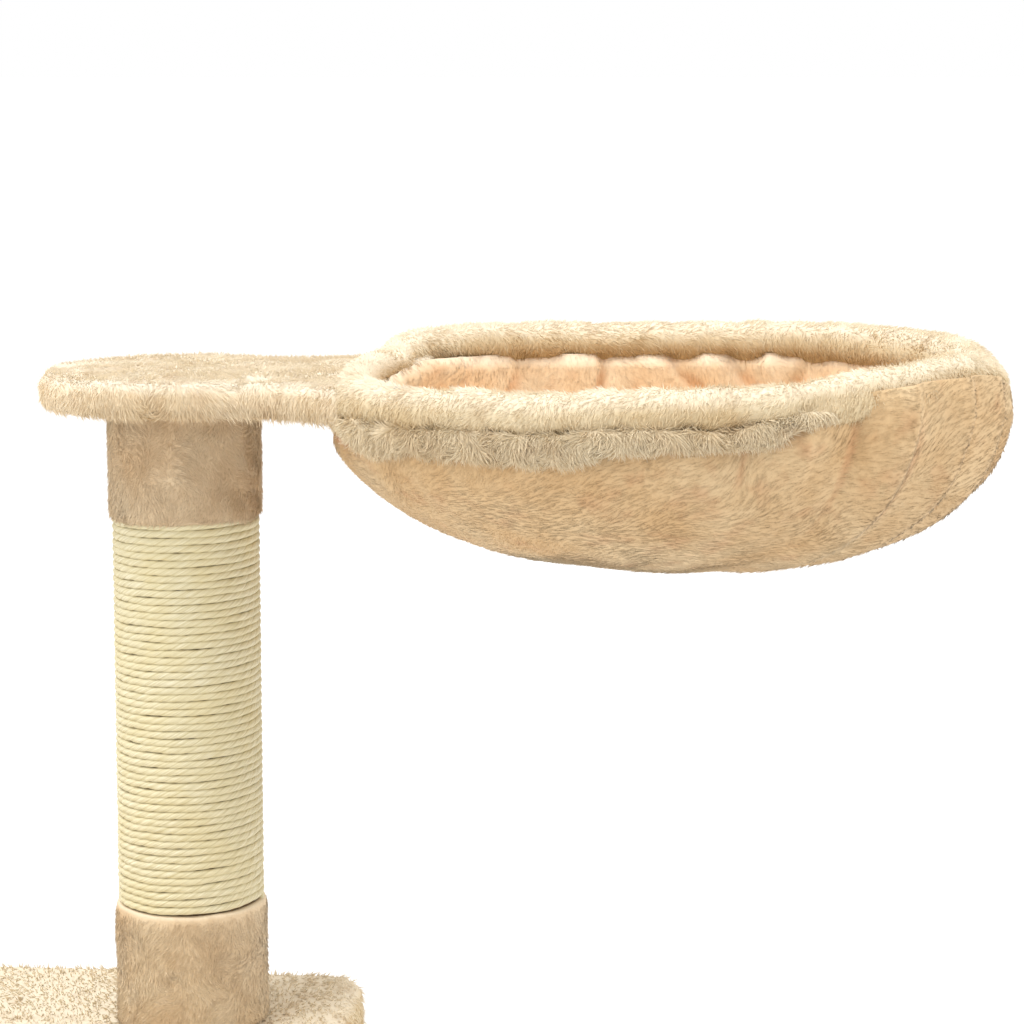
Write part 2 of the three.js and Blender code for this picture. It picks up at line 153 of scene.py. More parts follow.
class Shader:
    """A node material, built from the shader backwards with short calls."""

    def __init__(self, name, roughness, metallic=0.0):
        self.material = bpy.data.materials.new(name)
        self.material.use_nodes = True
        self.tree = self.material.node_tree
        self.surface = self.tree.nodes["Principled BSDF"]
        self.set("Roughness", roughness)
        self.set("Metallic", metallic)
        self.place = self.node("ShaderNodeTexCoord").outputs["Object"]

    def set(self, socket, value):
        self.surface.inputs[socket].default_value = value

    def node(self, kind, **settings):
        made = self.tree.nodes.new(kind)
        for key, value in settings.items():
            setattr(made, key, value)
        return made

    def link(self, source, target):
        self.tree.links.new(source, target)

    def stretched(self, scale, source=None):
        mapping = self.node("ShaderNodeMapping")
        mapping.inputs["Scale"].default_value = scale
        self.link(source or self.place, mapping.inputs["Vector"])
        return mapping.outputs["Vector"]

    def noise(self, scale, detail=3.0, vector=None, roughness=0.55):
        made = self.node("ShaderNodeTexNoise")
        made.inputs["Scale"].default_value = scale
        made.inputs["Detail"].default_value = detail
        made.inputs["Roughness"].default_value = roughness
        self.link(vector or self.place, made.inputs["Vector"])
        return made.outputs["Fac"]

    def attribute(self, name):
        return self.node("ShaderNodeAttribute", attribute_name=name).outputs["Fac"]

    def spread(self, source, low, high, to_low=0.0, to_high=1.0):
        made = self.node("ShaderNodeMapRange")
        made.inputs["From Min"].default_value = low
        made.inputs["From Max"].default_value = high
        made.inputs["To Min"].default_value = to_low
        made.inputs["To Max"].default_value = to_high
        self.link(source, made.inputs["Value"])
        return made.outputs["Result"]

    def mix(self, amount, first, second, blend="MIX"):
        """Mixes two colours; each is a socket or a colour, and amount a socket or a number."""
        made = self.node("ShaderNodeMix", data_type="RGBA", blend_type=blend)
        for socket, value in zip((made.inputs[0], made.inputs[6], made.inputs[7]),
                                 (amount, first, second)):
            if isinstance(value, bpy.types.NodeSocket):
                self.link(value, socket)
            else:
                socket.default_value = value
        return made.outputs[2]

    def grey(self, source):
        """A number as a grey colour, to multiply a colour by."""
        made = self.node("ShaderNodeCombineColor")
        for socket in made.inputs:
            self.link(source, socket)
        return made.outputs["Color"]

    def bump(self, height, strength, distance):
        made = self.node("ShaderNodeBump")
        made.inputs["Strength"].default_value = strength
        made.inputs["Distance"].default_value = distance
        self.link(height, made.inputs["Height"])
        self.link(made.outputs["Normal"], self.surface.inputs["Normal"])

    def finish(self, base):
        self.link(base, self.surface.inputs["Base Color"])
        return self.material


def plush(name, pale, deep, hollow, painted_light, root_shade=0.9):
    """Brushed pile: patches where it lies differently, warm painted shade in its hollows and towards
    the strands' roots, and painted light that makes it paler where it faces up.
    """
    s = Shader(name, 0.95)
    s.set("Specular IOR Level", 0.12)
    s.set("Sheen Weight", 0.25)
    s.set("Sheen Roughness", 0.5)
    s.set("Sheen Tint", colour("fff2dc"))
    patches = s.spread(s.noise(26, 3), 0.36, 0.66)
    base = s.mix(patches, colour(pale), colour(deep))
    # painted light: paler, towards its own colour, where the cloth faces up
    base = s.mix(s.spread(s.attribute("painted_light"), 0.1, 0.95), base, colour(painted_light))
    # random patches, tinted towards the colour of the painted shade in hollows
    base = s.mix(s.spread(s.noise(72, 2), 0.54, 0.74, 0, 0.3), base, colour(hollow))
    # painted shade: hollows of the cloth tinted towards a warmer, darker colour
    base = s.mix(s.spread(s.attribute("hollow"), 0.04, 0.6, 0, 0.85), base, colour(hollow))
    strand = s.grey(s.spread(s.attribute("shade"), 0, 1, 0.93, 1.04))
    base = s.mix(1.0, base, strand, "MULTIPLY")
    # painted shade: each strand darker towards its root
    root_to_tip_shade = s.grey(s.spread(s.attribute("tip"), 0, 0.8, root_shade, 1.0))
    base = s.mix(1.0, base, root_to_tip_shade, "MULTIPLY")
    mottle = s.grey(s.spread(s.noise(900, 2), 0.3, 0.7, 0.95, 1.03))
    base = s.mix(1.0, base, mottle, "MULTIPLY")
    s.bump(s.noise(1400, 2), 0.25, 0.3 * MM)
    return s.finish(base)


# ---- pile ----

def mark_hollows(obj, size, passes=2):
    """Stores 0 to 1 at each vertex: how far the cloth is hollowed there, as the amount of painted
    shade there.
    """
    bm = bmesh.new()
    bm.from_mesh(obj.data)
    bm.normal_update()
    values = []
    for v in bm.verts:
        around = [e.other_vert(v).co for e in v.link_edges]
        away = sum(around, Vector()) / len(around) - v.co
        reach = sum((p - v.co).length for p in around) / len(around)
        values.append(away.dot(v.normal) / max(reach * reach, 1e-9) * 2 * size)
    for _ in range(passes):
        values = [(values[v.index] + sum(values[e.other_vert(v).index] for e in v.link_edges))
                  / (1 + len(v.link_edges)) for v in bm.verts]
    bm.free()
    store(obj, "hollow", [min(1, max(0, v)) for v in values])


def store(obj, name, values, kind="FLOAT"):
    layer = obj.data.attributes.get(name) or obj.data.attributes.new(name, kind, "POINT")
    if kind == "FLOAT":
        layer.data.foreach_set("value", values)
    else:
        layer.data.foreach_set("vector", [x for v in values for x in v])


def brush(obj, direction, wander=0.6, size=18 * MM, seed=0):
    """Stores which way the pile is brushed: direction(point, normal), turned here and there."""
    ways = []
    for vertex in obj.data.vertices:
        point, normal = vertex.co, vertex.normal
        turn = Vector([uneven(point, size, seed + axis) for axis in (1, 2, 3)])
        way = Vector(direction(point, normal)) + turn * wander * 2
        way -= normal * way.dot(normal)
        ways.append(way.normalized() if way.length > 1e-6 else normal.orthogonal())
    store(obj, "nap", ways, "FLOAT_VECTOR")


def ready_cloth(obj, hollow_size=4 * MM):
    """What the plush materials read on the cloth itself, between the strands."""
    count = len(obj.data.vertices)
    mark_hollows(obj, hollow_size)
    store(obj, "lift", [v.normal for v in obj.data.vertices], "FLOAT_VECTOR")
    # painted light: the cloth, and the strands grown from it, paler the more they face up
    store(obj, "painted_light", [ease(v.normal.z) for v in obj.data.vertices])
    # painted shade: the cloth between the strands is a little darker than the strands' middle tone and
    # their tips
    store(obj, "shade", [0.4] * count)
    store(obj, "tip", [0.45] * count)
    if "grow" not in obj.data.attributes:
        store(obj, "grow", [1.0] * count)


def pile_nodes(density, length, width, stand, scatter, seed, bend, segments):
    """A node group that grows strands from a mesh, brushed along its nap."""
    group = bpy.data.node_groups.new("pile", "GeometryNodeTree")
    group.interface.new_socket("Geometry", in_out="INPUT", socket_type="NodeSocketGeometry")
    group.interface.new_socket("Geometry", in_out="OUTPUT", socket_type="NodeSocketGeometry")

    def node(kind, **settings):
        made = group.nodes.new(kind)
        for key, value in settings.items():
            setattr(made, key, value)
        return made

    def link(source, target):
        group.links.new(source, target)

    def vector_math(operation, first, second):
        made = node("ShaderNodeVectorMath", operation=operation)
        link(first, made.inputs[0])
        if isinstance(second, (int, float)):
            made.inputs["Scale"].default_value = second
        else:
            link(second, made.inputs[1])
        return made.outputs[0]

    def named(name, kind):
        made = node("GeometryNodeInputNamedAttribute", data_type=kind)
        made.inputs["Name"].default_value = name
        return made.outputs["Attribute"]

    def keep(geometry, name, value, domain):
        made = node("GeometryNodeStoreNamedAttribute", data_type="FLOAT", domain=domain)
        made.inputs["Name"].default_value = name
        link(geometry, made.inputs["Geometry"])
        link(value, made.inputs["Value"])
        return made.outputs["Geometry"]

    def chance(kind, low, high, number):
        made = node("FunctionNodeRandomValue", data_type=kind)
        offset = 0 if kind == "FLOAT_VECTOR" else 2
        made.inputs[offset].default_value = low
        made.inputs[offset + 1].default_value = high
        made.inputs["Seed"].default_value = seed * 10 + number
        return made.outputs[0 if kind == "FLOAT_VECTOR" else 1]

    # one strand, thin and pointed, curving over towards its tip
    strand = node("GeometryNodeMeshCone", fill_type="NGON")
    strand.inputs["Vertices"].default_value = 3
    strand.inputs["Side Segments"].default_value = segments
    strand.inputs["Radius Top"].default_value = 0
    strand.inputs["Radius Bottom"].default_value = width / 2
    strand.inputs["Depth"].default_value = length
    height = node("ShaderNodeSeparateXYZ")
    link(node("GeometryNodeInputPosition").outputs[0], height.inputs[0])
    share = node("ShaderNodeMath", operation="DIVIDE")
    link(height.outputs["Z"], share.inputs[0])
    share.inputs[1].default_value = length
    grown = keep(strand.outputs["Mesh"], "tip", share.outputs[0], "POINT")
    if bend:
        square = node("ShaderNodeMath", operation="MULTIPLY")
        link(share.outputs[0], square.inputs[0])
        link(share.outputs[0], square.inputs[1])
        lean = node("ShaderNodeMath", operation="MULTIPLY")
        link(square.outputs[0], lean.inputs[0])
        lean.inputs[1].default_value = bend
        offset = node("ShaderNodeCombineXYZ")
        link(lean.outputs[0], offset.inputs["X"])
        curved = node("GeometryNodeSetPosition")
        link(grown, curved.inputs["Geometry"])
        link(offset.outputs[0], curved.inputs["Offset"])
        grown = curved.outputs["Geometry"]

    # where the strands stand, and which way they lie
    thickly = node("ShaderNodeMath", operation="MULTIPLY")
    link(named("grow", "FLOAT"), thickly.inputs[0])
    thickly.inputs[1].default_value = density
    scattered = node("GeometryNodeDistributePointsOnFaces", distribute_method="RANDOM")
    start = node("NodeGroupInput")
    link(start.outputs[0], scattered.inputs["Mesh"])
    link(thickly.outputs[0], scattered.inputs["Density"])
    scattered.inputs["Seed"].default_value = seed
    upward = vector_math("SCALE", scattered.outputs["Normal"], stand)
    way = vector_math("ADD", named("nap", "FLOAT_VECTOR"), upward)
    stray = chance("FLOAT_VECTOR", (-scatter,) * 3, (scatter,) * 3, 1)
    way = vector_math("ADD", way, stray)
    turned = node("FunctionNodeAlignRotationToVector", axis="Z")
    link(way, turned.inputs["Vector"])
    planted = node("GeometryNodeInstanceOnPoints")
    link(scattered.outputs["Points"], planted.inputs["Points"])
    link(grown, planted.inputs["Instance"])
    link(turned.outputs[0], planted.inputs["Rotation"])
    link(chance("FLOAT", 0.65, 1.15, 2), planted.inputs["Scale"])
    shaded = keep(planted.outputs["Instances"], "shade", chance("FLOAT", 0.0, 1.0, 3), "INSTANCE")
    real = node("GeometryNodeRealizeInstances")
    link(shaded, real.inputs["Geometry"])
    end = node("NodeGroupOutput")
    link(real.outputs["Geometry"], end.inputs[0])
    return group


def shade_like_cloth(mesh, own_share):
    """Turns the strands' normals most of the way to the cloth's, so that the pile shades softly."""
    lift = [0.0] * (3 * len(mesh.vertices))
    mesh.attributes["lift"].data.foreach_get("vector", lift)
    normals = [Vector(lift[3 * i:3 * i + 3]) + own_share * v.normal
               for i, v in enumerate(mesh.vertices)]
    mesh.polygons.foreach_set("use_smooth", [True] * len(mesh.polygons))
    mesh.normals_split_custom_set_from_vertices([n.normalized() for n in normals])


def grow_pile(ground, name, count, length, width, stand, seed, scatter=0.3, bend=0.0, segments=1,
              own_share=None):
    """Grows about count strands from a cloth, as a piece of their own."""
    grow = [0.0] * len(ground.data.vertices)
    ground.data.attributes["grow"].data.foreach_get("value", grow)
    area = sum(face.area * sum(grow[i] for i in face.vertices) / len(face.vertices)
               for face in ground.data.polygons)
    grower = bpy.data.objects.new("grower", ground.data)
    bpy.context.scene.collection.objects.link(grower)
    modifier = grower.modifiers.new("pile", "NODES")
    modifier.node_group = pile_nodes(count / area, length, width, stand, scatter, seed, bend,
                                     segments)
    grown = grower.evaluated_get(bpy.context.evaluated_depsgraph_get())
    mesh = bpy.data.meshes.new_from_object(grown)
    mesh.name = name
    bpy.data.objects.remove(grower)
    if own_share is not None:
        shade_like_cloth(mesh, own_share)
    strands = bpy.data.objects.new(name, mesh)
    bpy.context.scene.collection.objects.link(strands)
    return strands


# ---- base plate's cover ----

def raise_plate(bm, height, edge):
    """Raises a flat outline to a plate and rounds its edges."""
    raised = bmesh.ops.extrude_face_region(bm, geom=bm.faces[:])
    top = [g for g in raised["geom"] if isinstance(g, bmesh.types.BMVert)]
    bmesh.ops.translate(bm, verts=top, vec=(0, 0, height))
    bmesh.ops.recalc_face_normals(bm, faces=bm.faces)
    rims = [e for e in bm.edges if abs(e.verts[0].co.z - e.verts[1].co.z) < 1e-6]
    bmesh.ops.bevel(bm, geom=rims, offset=edge, segments=4, profile=0.5,
                    affect="EDGES", material=-1)


def cut_up(bm, low, size, grid):
    """Cuts a plate into squares, so that its cloth can be uneven."""
    for axis in (0, 1):
        normal = [0, 0, 0]
        normal[axis] = 1
        for step in range(1, int(size[axis] / grid)):
            cut = list(low)
            cut[axis] += step * grid
            bmesh.ops.bisect_plane(bm, geom=bm.verts[:] + bm.edges[:] + bm.faces[:],
                                   plane_co=cut, plane_no=normal)


def plate_shell(low, high, corner, edge, tuck, grid):
    """A plate's cover: rounded corners and edges, turned under as a hem, with an open middle."""
    bm = bmesh.new()
    size = high - low
    middle = (low + high) / 2
    place = Matrix.Translation((middle.x, middle.y, low.z)) @ Matrix.Diagonal((size.x, size.y, 1, 1))
    bmesh.ops.create_grid(bm, x_segments=1, y_segments=1, size=0.5, matrix=place)
    bmesh.ops.bevel(bm, geom=bm.verts[:], offset=corner, segments=8, profile=0.5,
                    affect="VERTICES", material=-1)
    raise_plate(bm, size.z, edge)
    under = min(bm.faces, key=lambda f: f.calc_center_median().z)
    bmesh.ops.inset_region(bm, faces=[under], thickness=tuck - edge)
    bmesh.ops.delete(bm, geom=[under], context="FACES")
    cut_up(bm, low, size, grid)
    hem = [f for f in bm.faces if f.calc_center_median().z < low.z + 1e-5 and f.normal.z > 0]
    bmesh.ops.reverse_faces(bm, faces=hem)
    return bm


def make_base_cover(material):
    inset = Vector((PILE_STAND, PILE_STAND, 0))
    low = BASE_LOW + inset
    high = BASE_HIGH - inset - UP * PILE_STAND
    bm = plate_shell(low, high, corner=23 * MM, edge=6 * MM, tuck=27 * MM, grid=12 * MM)
    for v in bm.verts:
        if v.co.z > low.z + 5 * MM:
            v.co.z += 0.5 * MM * uneven(v.co, 45 * MM, 1)
    cover = piece("base_cover", bm)
    low_edge = low.z + 6 * MM
    store(cover, "grow", [1.0 if v.co.z > low_edge else 0.0 for v in cover.data.vertices])
    ready_cloth(cover)
    brush(cover, lambda p, n: (0.2, -0.9, -0.1), wander=0.9, size=40 * MM, seed=2)
    strands = grow_pile(cover, "base_pile", 45000, 4.5 * MM, 0.8 * MM, 0.5, 21, scatter=0.4)
    thicken(cover, 2 * MM)
    settle(cover, POST_BODY, "cream_plush", material, "base_plush_cover")
    settle(strands, POST_BODY, "cream_plush", material)


# ---- scratching post ----

ROPE_TURNS = 54
ROPE_STEPS = 150  # in each turn
ROPE_SIDES = 11
LAY = 19 * MM  # length in which a strand of the rope goes once round it
STRANDS = 3
ROPE_SQUEEZE = 1.1  # the turns press into each other by this much


def make_rope(material):
    """The rope, laid from three strands and wound up the tube in one helix."""
    low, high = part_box("sisal_rope_winding")
    pitch = (high.z - low.z) / ROPE_TURNS
    thick = pitch / 2 * ROPE_SQUEEZE
    coil = (high.y - low.y) / 2 - thick
    start = low.z + pitch / 2
    bm = bmesh.new()
    strip = Matrix.Diagonal((ROPE_TURNS - 1, 1, 1, 1)) @ Matrix.Translation((0.5, 0, 0))
    bmesh.ops.create_grid(bm, x_segments=ROPE_STEPS * (ROPE_TURNS - 1), y_segments=ROPE_SIDES,
                          size=0.5, matrix=strip)
    along = bm.verts.layers.float.new("along")
    around = bm.verts.layers.float.new("around")
    for v in bm.verts:
        turns = v.co.x
        heading = turns * TURN
        side = v.co.y * TURN
        side -= 0.45 * math.sin(side)  # more of the section's points on the side that shows
        run = heading * coil
        twist = side / TURN - run / LAY
        lobe = abs(math.cos(math.pi * STRANDS * twist))
        out = Vector((math.cos(heading), math.sin(heading), 0))
        wave = out + UP * turns * 0.6
        shape = thick * (0.89 + 0.13 * lobe ** 0.7 + 0.05 * uneven(wave, 0.15, 3))
        reach = coil + shape * math.cos(side) + 0.25 * MM * uneven(wave, 0.4, 2)
        level = start + turns * pitch + 0.55 * MM * uneven(wave, 0.45, 1)
        v.co = Vector((POST.x, POST.y, level + shape * math.sin(side))) + out * reach
        v[along] = run
        v[around] = twist * STRANDS
    point_outwards(bm)
    bmesh.ops.holes_fill(bm, edges=[e for e in bm.edges if e.is_boundary], sides=ROPE_SIDES)
    rope = piece("sisal_rope", bm)
    settle(rope, POST_BODY, "sisal", material, "sisal_rope_winding")


def sisal():
    """Dry twisted fibre: fine lines that run with the lay, and painted shade in the seams between
    strands.
    """
    s = Shader("sisal", 0.8)
    s.set("Specular IOR Level", 0.25)
    s.set("Sheen Weight", 0.15)
    run = s.node("ShaderNodeCombineXYZ")
    s.link(s.attribute("along"), run.inputs["X"])
    s.link(s.attribute("around"), run.inputs["Y"])
    fibres = s.noise(1.0, 3, s.stretched((70, 5, 1), run.outputs[0]))
    base = s.mix(s.spread(fibres, 0.3, 0.7), colour("cdc197"), colour("ebe4c8"))
    patches = s.spread(s.noise(55, 2), 0.35, 0.7, 0.0, 0.55)
    base = s.mix(patches, base, colour("dccfa3"))
    seam = s.node("ShaderNodeMath", operation="PINGPONG")
    s.link(s.attribute("around"), seam.inputs[0])
    seam.inputs[1].default_value = 0.5
    # painted shade in the seams between the rope's strands
    groove_shade = s.spread(seam.outputs[0], 0.36, 0.5, 0.0, 0.3)
    base = s.mix(groove_shade, base, colour("a8955c"))
    s.bump(fibres, 0.5, 0.4 * MM)
    return s.finish(base)


def make_collar(name, node, material, seed, overlap_low, overlap_high):
    """A plush sleeve, soft at its ends, that covers the rope's end."""
    low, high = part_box(node)
    outer = (high.x - low.x) / 2 - PILE_STAND
    inner = size_of("post_tube").x / 2 + 0.4 * MM
    bottom, top = low.z - overlap_low, high.z + overlap_high
    bm = bmesh.new()
    middle = ((outer + inner) / 2, 0, (top + bottom) / 2)
    place = (Matrix.Translation(middle) @ Matrix.Rotation(TURN / 4, 4, "X")
             @ Matrix.Diagonal((outer - inner, top - bottom, 1, 1)))
    bmesh.ops.create_grid(bm, x_segments=1, y_segments=1, size=0.5, matrix=place)
    outside = [v for v in bm.verts if v.co.x > middle[0]]
    bmesh.ops.bevel(bm, geom=outside, offset=2 * MM, segments=4, profile=0.5,
                    affect="VERTICES", material=-1)
    bmesh.ops.delete(bm, geom=bm.faces[:], context="FACES_ONLY")
    tall = [e for e in bm.edges if abs(e.verts[0].co.z - e.verts[1].co.z) > 10 * MM]
    bmesh.ops.subdivide_edges(bm, edges=tall, cuts=14)
    bmesh.ops.translate(bm, verts=bm.verts, vec=(POST.x, POST.y, 0))
    bmesh.ops.spin(bm, geom=bm.verts[:] + bm.edges[:], cent=(POST.x, POST.y, 0), axis=UP,
                   angle=TURN, steps=96, use_merge=True)
    for v in bm.verts:
        out = Vector((v.co.x - POST.x, v.co.y - POST.y, 0))
        if out.length > inner + 1 * MM:
            v.co += out.normalized() * 0.5 * MM * uneven(v.co, 16 * MM, seed)
            v.co.z += 0.7 * MM * uneven(out, 14 * MM, seed + 1)
    point_outwards(bm)
    sleeve = piece(name, bm)
    showing = [(v.co.xy - POST.xy).length > inner + 1.5 * MM and v.co.z < top - 4 * MM
               for v in sleeve.data.vertices]
    store(sleeve, "grow", [float(shows) for shows in showing])
    ready_cloth(sleeve)
    brush(sleeve, lambda p, n: (0, 0, -1), wander=1.1, size=15 * MM, seed=seed)
    strands = grow_pile(sleeve, name + "_pile", 20000, 3.6 * MM, 0.5 * MM, 0.2, seed, scatter=0.25,
                        own_share=1.2)
    settle(sleeve, POST_BODY, "tan_plush", material, node)
    settle(strands, POST_BODY, "tan_plush", material)


# ---- platform's cover ----

PLATFORM_ROUND = 68 * MM  # radius of the end round the post
LIP_RADIUS = 132 * MM  # hollow edge that follows the ring
WAIST_RADIUS = 62.6 * MM
LIP_REACH = 31  # degrees, half of the hollow edge


def arc(bm, centre, radius, start, end, steps):
    """An arc of edges about a centre, from one angle to another."""
    x = centre[0] + radius * math.cos(start)
    y = centre[1] + radius * math.sin(start)
    first = bm.verts.new((x, y, 0))
    bmesh.ops.spin(bm, geom=[first], cent=(centre[0], centre[1], 0), axis=UP,
                   angle=end - start, steps=steps)


def platform_outline(bm, inset):
    """The platform seen from above: a round end, two inward-curving waists and an inward-curving edge.
    """
    gap = RING.x - POST.x
    end = PLATFORM_ROUND - inset
    waist = WAIST_RADIUS + inset
    ring = RING_RADIUS + ROLL_RADIUS - inset
    lip = LIP_RADIUS + inset
    waist_x = ((end + waist) ** 2 - (ring + waist) ** 2 + gap ** 2) / (2 * gap)
    waist_y = math.sqrt((end + waist) ** 2 - waist_x ** 2)
    leave = math.atan2(waist_y, waist_x)
    edge = math.radians(LIP_REACH)
    along = Vector((-math.cos(edge), math.sin(edge)))
    from_ring = Vector((waist_x - gap, waist_y))
    near = from_ring.dot(along)
    reach = near - math.sqrt(waist ** 2 - (from_ring.length_squared - near ** 2))
    corner = along * reach + Vector((gap, 0))
    meet = math.atan2(corner.y - waist_y, corner.x - waist_x)
    arc(bm, (0, 0), end, leave, TURN - leave, 48)
    arc(bm, (waist_x, -waist_y), waist, math.pi - leave, -meet, 14)
    arc(bm, (gap, 0), lip, math.pi + edge, math.pi - edge, 20)
    arc(bm, (waist_x, waist_y), waist, meet, leave - math.pi, 14)
    bmesh.ops.remove_doubles(bm, verts=bm.verts, dist=0.2 * MM)
    loose = [v for v in bm.verts if len(v.link_edges) == 1]
    if loose:
        bmesh.ops.contextual_create(bm, geom=loose[:2])
        if len(loose) > 2:
            bmesh.ops.contextual_create(bm, geom=loose[2:])
    bmesh.ops.contextual_create(bm, geom=bm.edges[:])


def make_platform_cover(material):
    bm = bmesh.new()
    platform_outline(bm, PILE_STAND)
    bottom = PLATFORM_LOW.z + 0.6 * MM
    height = PLATFORM_HIGH.z - PILE_STAND - bottom
    raise_plate(bm, height, 6 * MM)
    bmesh.ops.translate(bm, verts=bm.verts, vec=(POST.x, POST.y, bottom))
    cut_up(bm, PLATFORM_LOW, PLATFORM_HIGH - PLATFORM_LOW, 4 * MM)
    middle_z = bottom + height / 2
    for v in bm.verts:
        from_ring = Vector((v.co.x - RING.x, v.co.y - RING.y)).length
        near_lip = ease(1 - (from_ring - LIP_RADIUS) / (45 * MM))
        lift = 0.7 * MM * uneven(v.co, 22 * MM, 5) + near_lip * 1.6 * MM * uneven(v.co, 11 * MM, 6)
        if v.co.z > middle_z:
            v.co.z += lift
        side = Vector((v.co.x - POST.x, v.co.y - POST.y, 0)).normalized()
        v.co += side * 0.6 * MM * uneven(v.co, 14 * MM, 7)
    point_outwards(bm)
    cover = piece("platform_cover", bm)
    ready_cloth(cover)

    def hang(point, normal):
        on_top = ease((normal.z - 0.3) / 0.5)
        return Vector((0.2, -0.6, 0)) * on_top + Vector((0, 0, -1)) * (1 - on_top)

    brush(cover, hang, wander=0.7, size=20 * MM, seed=3)
    strands = grow_pile(cover, "platform_pile", 48000, 3.6 * MM, 0.55 * MM, 0.35, 31, scatter=0.35)

    # longer hair that hangs over the lower edge
    edge = [ease(1 - abs(v.co.z - bottom - 3 * MM) / (3.5 * MM)) if v.normal.z < 0.6 else 0.0
            for v in cover.data.vertices]
    full = [0.0] * len(edge)
    cover.data.attributes["grow"].data.foreach_get("value", full)
    store(cover, "grow", edge)
    fringe = grow_pile(cover, "platform_fringe", 5200, 6 * MM, 0.6 * MM, 0.25, 32,
                       scatter=0.3, bend=1.2 * MM, segments=2)
    store(cover, "grow", full)
    thicken(cover, 1.8 * MM)
    settle(cover, HAMMOCK_BODY, "platform_plush", material, "platform_plush_cover")
    for hair in (strands, fringe):
        settle(hair, HAMMOCK_BODY, "platform_plush", material)


# ---- hammock ----

# how far the ring has been bent up or down from level, in millimetres, round the ring
RIM_SAG = [(0, -4.7), (25, 1), (60, 0.5), (95, -1.8), (140, 1), (165, -3), (180, -6),
           (198, -6), (222, -6), (245, -4.3), (270, -1), (290, 0), (314, 4.5), (332, 6)]
# height of the seam on the roll's outer face, in millimetres from the roll's centre
SEAM_LEVEL = [(0, -1), (60, -6), (150, -6), (210, -6.5), (285, -6.5), (300, 3), (320, 4.5),
              (338, 2.4)]
# angles where the cloth is pinched into the roll's seam
PINCHES = [224, 236, 248, 259, 268, 277.7, 286.6, 297, 62, 70.4, 78.5, 91, 105.6, 123, 141, 156]


def rim_sag(angle):
    return round_ring(angle, RIM_SAG) * MM


def angle_from(angle, other):
    return (angle - other + 180) % 360 - 180


def pinch(angle, width):
    """From 0 to 1, how near an angle is to one where the cloth is pinched."""
    return max(math.exp(-(angle_from(angle, at) / width) ** 2) for at in PINCHES)


def at_platform(angle, start=148, end=212, soft=14):
    """From 0 to 1 over the stretch of the ring that lies on the platform."""
    return ease((angle - start) / soft) * ease((end - angle) / soft)


INNER_SEAM = 218  # degrees round the roll's section, from its outer side up over the top


def make_rim_roll(material):
    """The padded roll round the ring: uneven, creased along its seam and pinched by gathers."""
    bm = bmesh.new()
    radius = ROLL_RADIUS - PILE_STAND
    stand = (Matrix.Translation((RING.x + RING_RADIUS, RING.y, RIM_Z))
             @ Matrix.Rotation(TURN / 4, 4, "X"))
    bmesh.ops.create_circle(bm, segments=26, radius=radius, matrix=stand)
    bmesh.ops.spin(bm, geom=bm.verts[:] + bm.edges[:], cent=RING, axis=UP,
                   angle=TURN, steps=300, use_merge=True)
    for v in bm.verts:
        angle = ring_angle(v.co)
        out = Vector((v.co.x - RING.x, v.co.y - RING.y, 0))
        side = math.degrees(math.atan2(v.co.z - RIM_Z, out.length - RING_RADIUS))
        seam = math.degrees(math.asin(max(-1, min(1, round_ring(angle, SEAM_LEVEL) * MM / radius))))
        crease = math.exp(-(angle_from(side, seam) / 13) ** 2)
        inner_seam = math.exp(-(angle_from(side, INNER_SEAM) / 16) ** 2)
        gathered = pinch(angle, 2.2)
        size = radius + 0.9 * MM * uneven(v.co, 24 * MM, 1) + 0.5 * MM * uneven(v.co, 9 * MM, 2)
        size -= crease * (0.7 + 1.9 * gathered + 0.6 * uneven(v.co, 14 * MM, 12)) * MM
        size -= inner_seam * (1.0 + 1.6 * gathered) * MM
        size -= gathered * 0.9 * MM
        inner_low = ease(math.cos(math.radians(angle_from(side, 215))))
        spot = out.normalized() * RING_RADIUS
        size += inner_low * 1.6 * MM * uneven(spot, 13 * MM, 14)
        sunk = at_platform(angle)
        flat = 1 - 0.3 * sunk
        reach = RING_RADIUS - 8 * MM * sunk + size * math.cos(math.radians(side))
        level = RIM_Z + rim_sag(angle) + size * math.sin(math.radians(side)) * flat
        v.co = Vector((RING.x, RING.y, 0)) + out.normalized() * reach
        v.co.z = level
    point_outwards(bm)
    roll = piece("rim_roll", bm)
    ready_cloth(roll)
    # painted shade: the roll's inner face, down inside the bowl, tinted towards the warm hollow-shade
    # colour
    inner_shade = []
    for v in roll.data.vertices:
        inside = RING_RADIUS - (v.co.xy - RING.xy).length
        inner_shade.append(0.7 * ease(inside / (7 * MM)) * ease((RIM_Z + 5 * MM - v.co.z) / (13 * MM)))
    hollow = [0.0] * len(inner_shade)
    roll.data.attributes["hollow"].data.foreach_get("value", hollow)
    store(roll, "hollow", [max(pair) for pair in zip(inner_shade, hollow)])

    def over_the_roll(point, normal):
        out = Vector((point.x - RING.x, point.y - RING.y, 0)).normalized()
        return out * 0.7 + Vector((0, 0, -1)) + out.cross(UP) * 0.5

    brush(roll, over_the_roll, wander=0.9, size=16 * MM, seed=4)
    strands = grow_pile(roll, "rim_roll_pile", 49000, 3.4 * MM, 0.55 * MM, 0.4, 41, scatter=0.45)
    settle(roll, HAMMOCK_BODY, "cream_plush", material, "rim_casing")
    settle(strands, HAMMOCK_BODY, "cream_plush", material)


# lower edge of the frill, in millimetres from the roll's centre
FRILL_EDGE = [(205, -12), (222, -18), (232, -15), (246, -16.5), (261, -18), (270, -13),
              (290, -12.5), (300, -9)]
FRILL_START = 207
FRILL_END = 301


